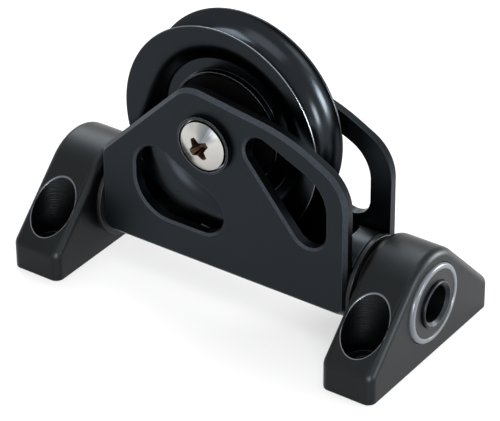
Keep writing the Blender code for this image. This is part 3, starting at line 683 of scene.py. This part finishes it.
# A dark fan from the recess to the upper rim is painted on each head: a painted reflection.
fan_direction, fan_start, fan_base, fan_streaks = (0.37, 0.0, 0.93), 0.80, 0.35, 14.0
steel_tree = bright_steel.node_tree
way_out = vector_node(steel_tree, "NORMALIZE", way_from_axle(steel_tree))
towards_fan = vector_node(steel_tree, "DOT_PRODUCT", way_out, fan_direction)
in_fan = range_node(steel_tree, towards_fan, fan_start, 1.0)
streaks = math_node(steel_tree, "ADD", noise_node(steel_tree, way_out, fan_streaks), fan_base)
painted_reflection_share = math_node(steel_tree, "MULTIPLY", streaks, in_fan, clamp=True)
paint_over(bright_steel, painted_reflection_share, (0.15, 0.17, 0.19))

dome_radius = (head_radius ** 2 + head_dome ** 2) / (2 * head_dome)


def dome_centre(side):
    """The middle of the ball that a screw's dome is a part of."""
    return Vector((sheave_x, side * (head_rim + head_dome - dome_radius), sheave_height))


def screw_blank(side):
    """The part of a ball above the rim, drawn on into the cone, the shank and its end."""
    head = bmesh.new()
    bmesh.ops.create_uvsphere(head, u_segments=96, v_segments=180, radius=dome_radius)
    to_screw = Matrix.Translation(dome_centre(side)) @ Matrix.Rotation(math.radians(-90 * side), 4, "X")
    bmesh.ops.transform(head, matrix=to_screw, verts=head.verts)
    loop = cut_off(head, (0, side * head_rim, 0), (0, -side, 0))
    for radius, along in ((shank_radius, head_rim - head_radius + shank_radius),
                          (shank_radius, head_rim - shank_end),
                          (shank_radius - end_chamfer, head_rim - screw_end)):
        grown = bmesh.ops.extrude_edge_only(head, edges=loop)["geom"]
        loop = [edge for edge in only(bmesh.types.BMEdge, grown)
                if all(vert in grown for vert in edge.verts)]
        for vert in only(bmesh.types.BMVert, grown):
            out = Vector((vert.co.x - sheave_x, 0, vert.co.z - sheave_height)).normalized() * radius
            vert.co = Vector((sheave_x, side * along, sheave_height)) + out
    bmesh.ops.holes_fill(head, edges=head.edges)
    bmesh.ops.recalc_face_normals(head, faces=head.faces)
    return head


def recess_punch(side):
    """The tapered cross that is pressed into a screw's head."""
    star = []
    for quarter in range(4):
        spin = Matrix.Rotation(quarter * math.pi / 2 + recess_turn, 2)
        for corner in ((arm_reach, -arm_half_width), (arm_reach, arm_half_width), (arm_root, arm_root)):
            a, b = spin @ Vector(corner)
            star.append((sheave_x + a, sheave_height + b, 0))
    start = head_rim + head_dome + recess_start
    punch = draw_out(rounded_face(star, "Y", side * start), (0, -side * recess_depth, 0))
    tip = [vert for vert in punch.verts if abs(vert.co.y - side * (start - recess_depth)) < 0.01]
    bmesh.ops.scale(punch, vec=(recess_taper, 1, recess_taper), verts=tip,
                    space=Matrix.Translation((-sheave_x, 0, -sheave_height)))
    return punch


def in_recess(face, side):
    """True for a face under the dome's skin, near the axis and not far below the rim."""
    from_centre = face.center - dome_centre(side) * mm
    under_skin = from_centre.length < (dome_radius - head_skin) * mm
    near_axis = math.hypot(from_centre.x, from_centre.z) < wall_reach * mm
    return under_skin and near_axis and abs(face.center.y) > (head_rim - wall_depth) * mm


for label, side in faces:
    screw = as_object("oval_screw_" + label, screw_blank(side), bright_steel)
    carve(screw, recess_punch(side))
    soften(screw, head_edge_round, 40)
    # The recess faces take the painted shade material.
    screw.data.materials.append(recess_painted_shade)
    for face in screw.data.polygons:
        if in_recess(face, side):
            face.material_index = 1
    fit(screw, "swinging_frame", "axle_screw_" + label, 35)

# Studio floor and room. Pale seamless paper in an even white room. The paper glows a little
# where it is seen, and more from 0.2 to 0.6 m off, so that low views have no grey horizon.
floor_half, floor_drop = 3000, 0.2
glow_start, glow_end, glow_near, glow_far = 0.2, 0.6, 0.6, 0.82
room_light = 0.45


def seen_directly(tree):
    """1 for rays from the camera and for those that metal or glass sends on, else 0."""
    rays = tree.nodes.new("ShaderNodeLightPath").outputs
    passed_on = math_node(tree, "MAXIMUM", rays["Is Glossy Ray"], rays["Is Transmission Ray"])
    return math_node(tree, "MAXIMUM", rays["Is Camera Ray"], passed_on)


paper = bpy.data.materials.new("white paper")
paper.use_nodes = True
paper_tree = paper.node_tree
paper_shader = paper_tree.nodes["Principled BSDF"]
for label, value in (("Base Color", (0.40, 0.40, 0.40, 1)), ("Roughness", 1.0),
                     ("Specular IOR Level", 0.0), ("Emission Color", (1, 1, 1, 1))):
    paper_shader.inputs[label].default_value = value
far_off = vector_node(paper_tree, "LENGTH", coordinates(paper_tree)["Object"])
glow = range_node(paper_tree, far_off, glow_start, glow_end, glow_near, glow_far)
feed(paper_tree, paper_shader.inputs["Emission Strength"],
     math_node(paper_tree, "MULTIPLY", seen_directly(paper_tree), glow))
floor_shape = bmesh.new()
bmesh.ops.create_grid(floor_shape, x_segments=1, y_segments=1, size=floor_half,
                      matrix=Matrix.Translation((0, 0, -floor_drop)))
floor = as_object("studio_floor", floor_shape, paper)

world = bpy.data.worlds.new("studio")
bpy.context.scene.world = world
world.use_nodes = True
sky = world.node_tree.nodes["Background"]
sky.inputs["Color"].default_value = (1, 1, 1, 1)
feed(world.node_tree, sky.inputs["Strength"],
     math_node(world.node_tree, "MAXIMUM", seen_directly(world.node_tree), room_light))

# Lamps. Six weak soft boxes that put the highlights on the coats, all aimed at the block. The
# three low ones leave out the frame, whose flat cheeks would glare when it is swung down.
lamp_target = Vector((0, 0, 0.03))


def softbox(name, place, size, watts, reaches):
    """A square soft lamp that, where pieces are named, lights only those and the floor."""
    lamp = bpy.data.lights.new(name, "AREA")
    lamp.size = size
    lamp.energy = watts
    stand = add_object(name, lamp)
    stand.visible_camera = False
    stand.location = place
    stand.rotation_euler = (lamp_target - Vector(place)).to_track_quat("-Z", "Y").to_euler()
    if reaches:
        lit = bpy.data.collections.new(name + " reaches")
        for piece_name in reaches + ["studio_floor"]:
            lit.objects.link(bpy.data.objects[piece_name])
        stand.light_linking.receiver_collection = lit


end_pieces = []
for kind in ("deck_foot_", "outer_bush_", "hollow_pin_", "thrust_disc_"):
    end_pieces += [kind + label for label, side in ends]
end_pieces_and_sheave = end_pieces + ["grooved_sheave"]
for name, place, size, watts, reaches in (
        ("overhead", (0.0, -0.05, 0.8), 0.6, 2.2, []),
        ("back left", (-0.45, 0.40, 0.62), 0.45, 6.0, []),
        ("backdrop right", (0.55, 0.7, 0.15), 0.3, 14.0, end_pieces),
        ("right side", (0.85, 0.1, 0.12), 0.25, 5.0, end_pieces_and_sheave),
        ("front right", (0.5, -0.62, 0.12), 0.25, 7.5, end_pieces_and_sheave),
        ("front", (0.1, -0.85, 0.3), 0.3, 1.0, [])):
    softbox(name, place, size, watts, reaches)

# Camera. A long lens that looks down on the block from the front right, as in the photograph.
# Its place and turn were fitted to the photograph's parallel edges and circles.
aim = Vector((0.869, 0, 22.321))
distance = 690.473
turn, tilt, roll = math.radians(35.362), math.radians(32.021), math.radians(-0.471)
camera_data = bpy.data.cameras.new("camera")
camera_data.sensor_width = 36.0
camera_data.lens = 200.42
camera = add_object("camera", camera_data)
away = Vector((math.sin(turn) * math.cos(tilt), -math.cos(turn) * math.cos(tilt), math.sin(tilt)))
camera.location = (aim + distance * away) * mm
camera.rotation_euler = (Matrix.Rotation(turn, 3, "Z") @ Matrix.Rotation(math.pi / 2 - tilt, 3, "X")
                         @ Matrix.Rotation(roll, 3, "Z")).to_euler()
bpy.context.scene.camera = camera
bpy.context.scene.view_settings.view_transform = "Standard"
